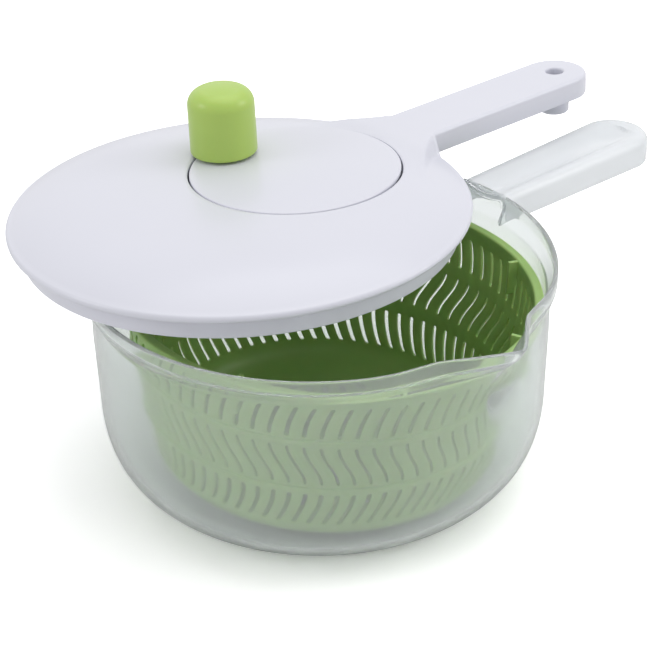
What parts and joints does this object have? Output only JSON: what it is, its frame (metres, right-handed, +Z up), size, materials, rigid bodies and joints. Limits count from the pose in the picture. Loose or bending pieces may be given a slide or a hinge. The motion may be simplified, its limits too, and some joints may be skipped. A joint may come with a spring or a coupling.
{
  "type": "salad spinner",
  "caption": "Hand-cranked salad spinner: frosted bowl with long handle and pour spout, slotted green basket, and a white lid with arm, crank disc and knob leaning on the rim.",
  "frame": {"origin": "on the table, on the bowl's axis, at the flat base of the bowl", "axes": "+Z up along the bowl's axis, +X along the bowl's handle, the pour spout points nearly along -Y"},
  "size_m": [0.3926, 0.3126, 0.1955],
  "materials": {
    "frosted_bowl": "frosted translucent polypropylene, lightly glossy",
    "green_basket": "satin moulded polypropylene, slightly translucent",
    "white_gloss": "glossy moulded ABS",
    "green_knob": "satin moulded plastic",
    "nylon": "satin natural nylon",
    "steel": "plain steel"
  },
  "bodies": {
    "bowl": {"bowl": "frosted_bowl"},
    "basket": {"basket": "green_basket"},
    "lid": {"lid_cover": "white_gloss", "gear_housing_plate": "white_gloss", "housing_screw_1": "steel", "housing_screw_2": "steel", "housing_screw_3": "steel", "housing_screw_4": "steel", "housing_screw_5": "steel", "housing_screw_6": "steel", "crank_bush": "nylon", "drive_bush": "nylon"},
    "crank": {"crank_disc": "white_gloss", "crank_gear": "nylon", "gear_screw_1": "steel", "gear_screw_2": "steel", "gear_screw_3": "steel", "crank_axle": "steel", "crank_washer": "nylon", "crank_axle_clip": "steel", "knob_spindle": "steel", "spindle_nut": "steel", "knob_snap_ring": "steel"},
    "knob": {"knob": "green_knob"},
    "drive": {"drive_pinion": "nylon", "drive_shaft": "steel", "drive_washer": "nylon", "drive_plate": "white_gloss", "drive_plate_washer": "steel", "drive_plate_screw": "steel"}
  },
  "joints": [
    {"name": "basket_spin", "type": "hinge", "parent": "bowl", "child": "basket", "pos_m": [0.00083, -0.00075, 0.02], "axis": [0.0412, -0.0376, 0.9984], "continuous": true},
    {"name": "lid_lift", "type": "slide", "parent": "bowl", "child": "lid", "axis": [0, 0, 1], "range_m": [0, 0.14]},
    {"name": "crank_spin", "type": "hinge", "parent": "lid", "child": "crank", "pos_m": [0.02208, 0.04345, 0.14705], "axis": [0, 0.0349, 0.9994], "continuous": true},
    {"name": "knob_spin", "type": "hinge", "parent": "crank", "child": "knob", "pos_m": [0.00895, 0.08826, 0.16099], "axis": [0, 0.0349, 0.9994], "continuous": true},
    {"name": "drive_spin", "type": "hinge", "parent": "lid", "child": "drive", "pos_m": [-0.0167, 0.0448, 0.147], "axis": [0, 0.0349, 0.9994], "continuous": true}
  ],
  "couplings": [
    {"joint": "drive_spin", "follows": "crank_spin", "ratio": -3}
  ]
}
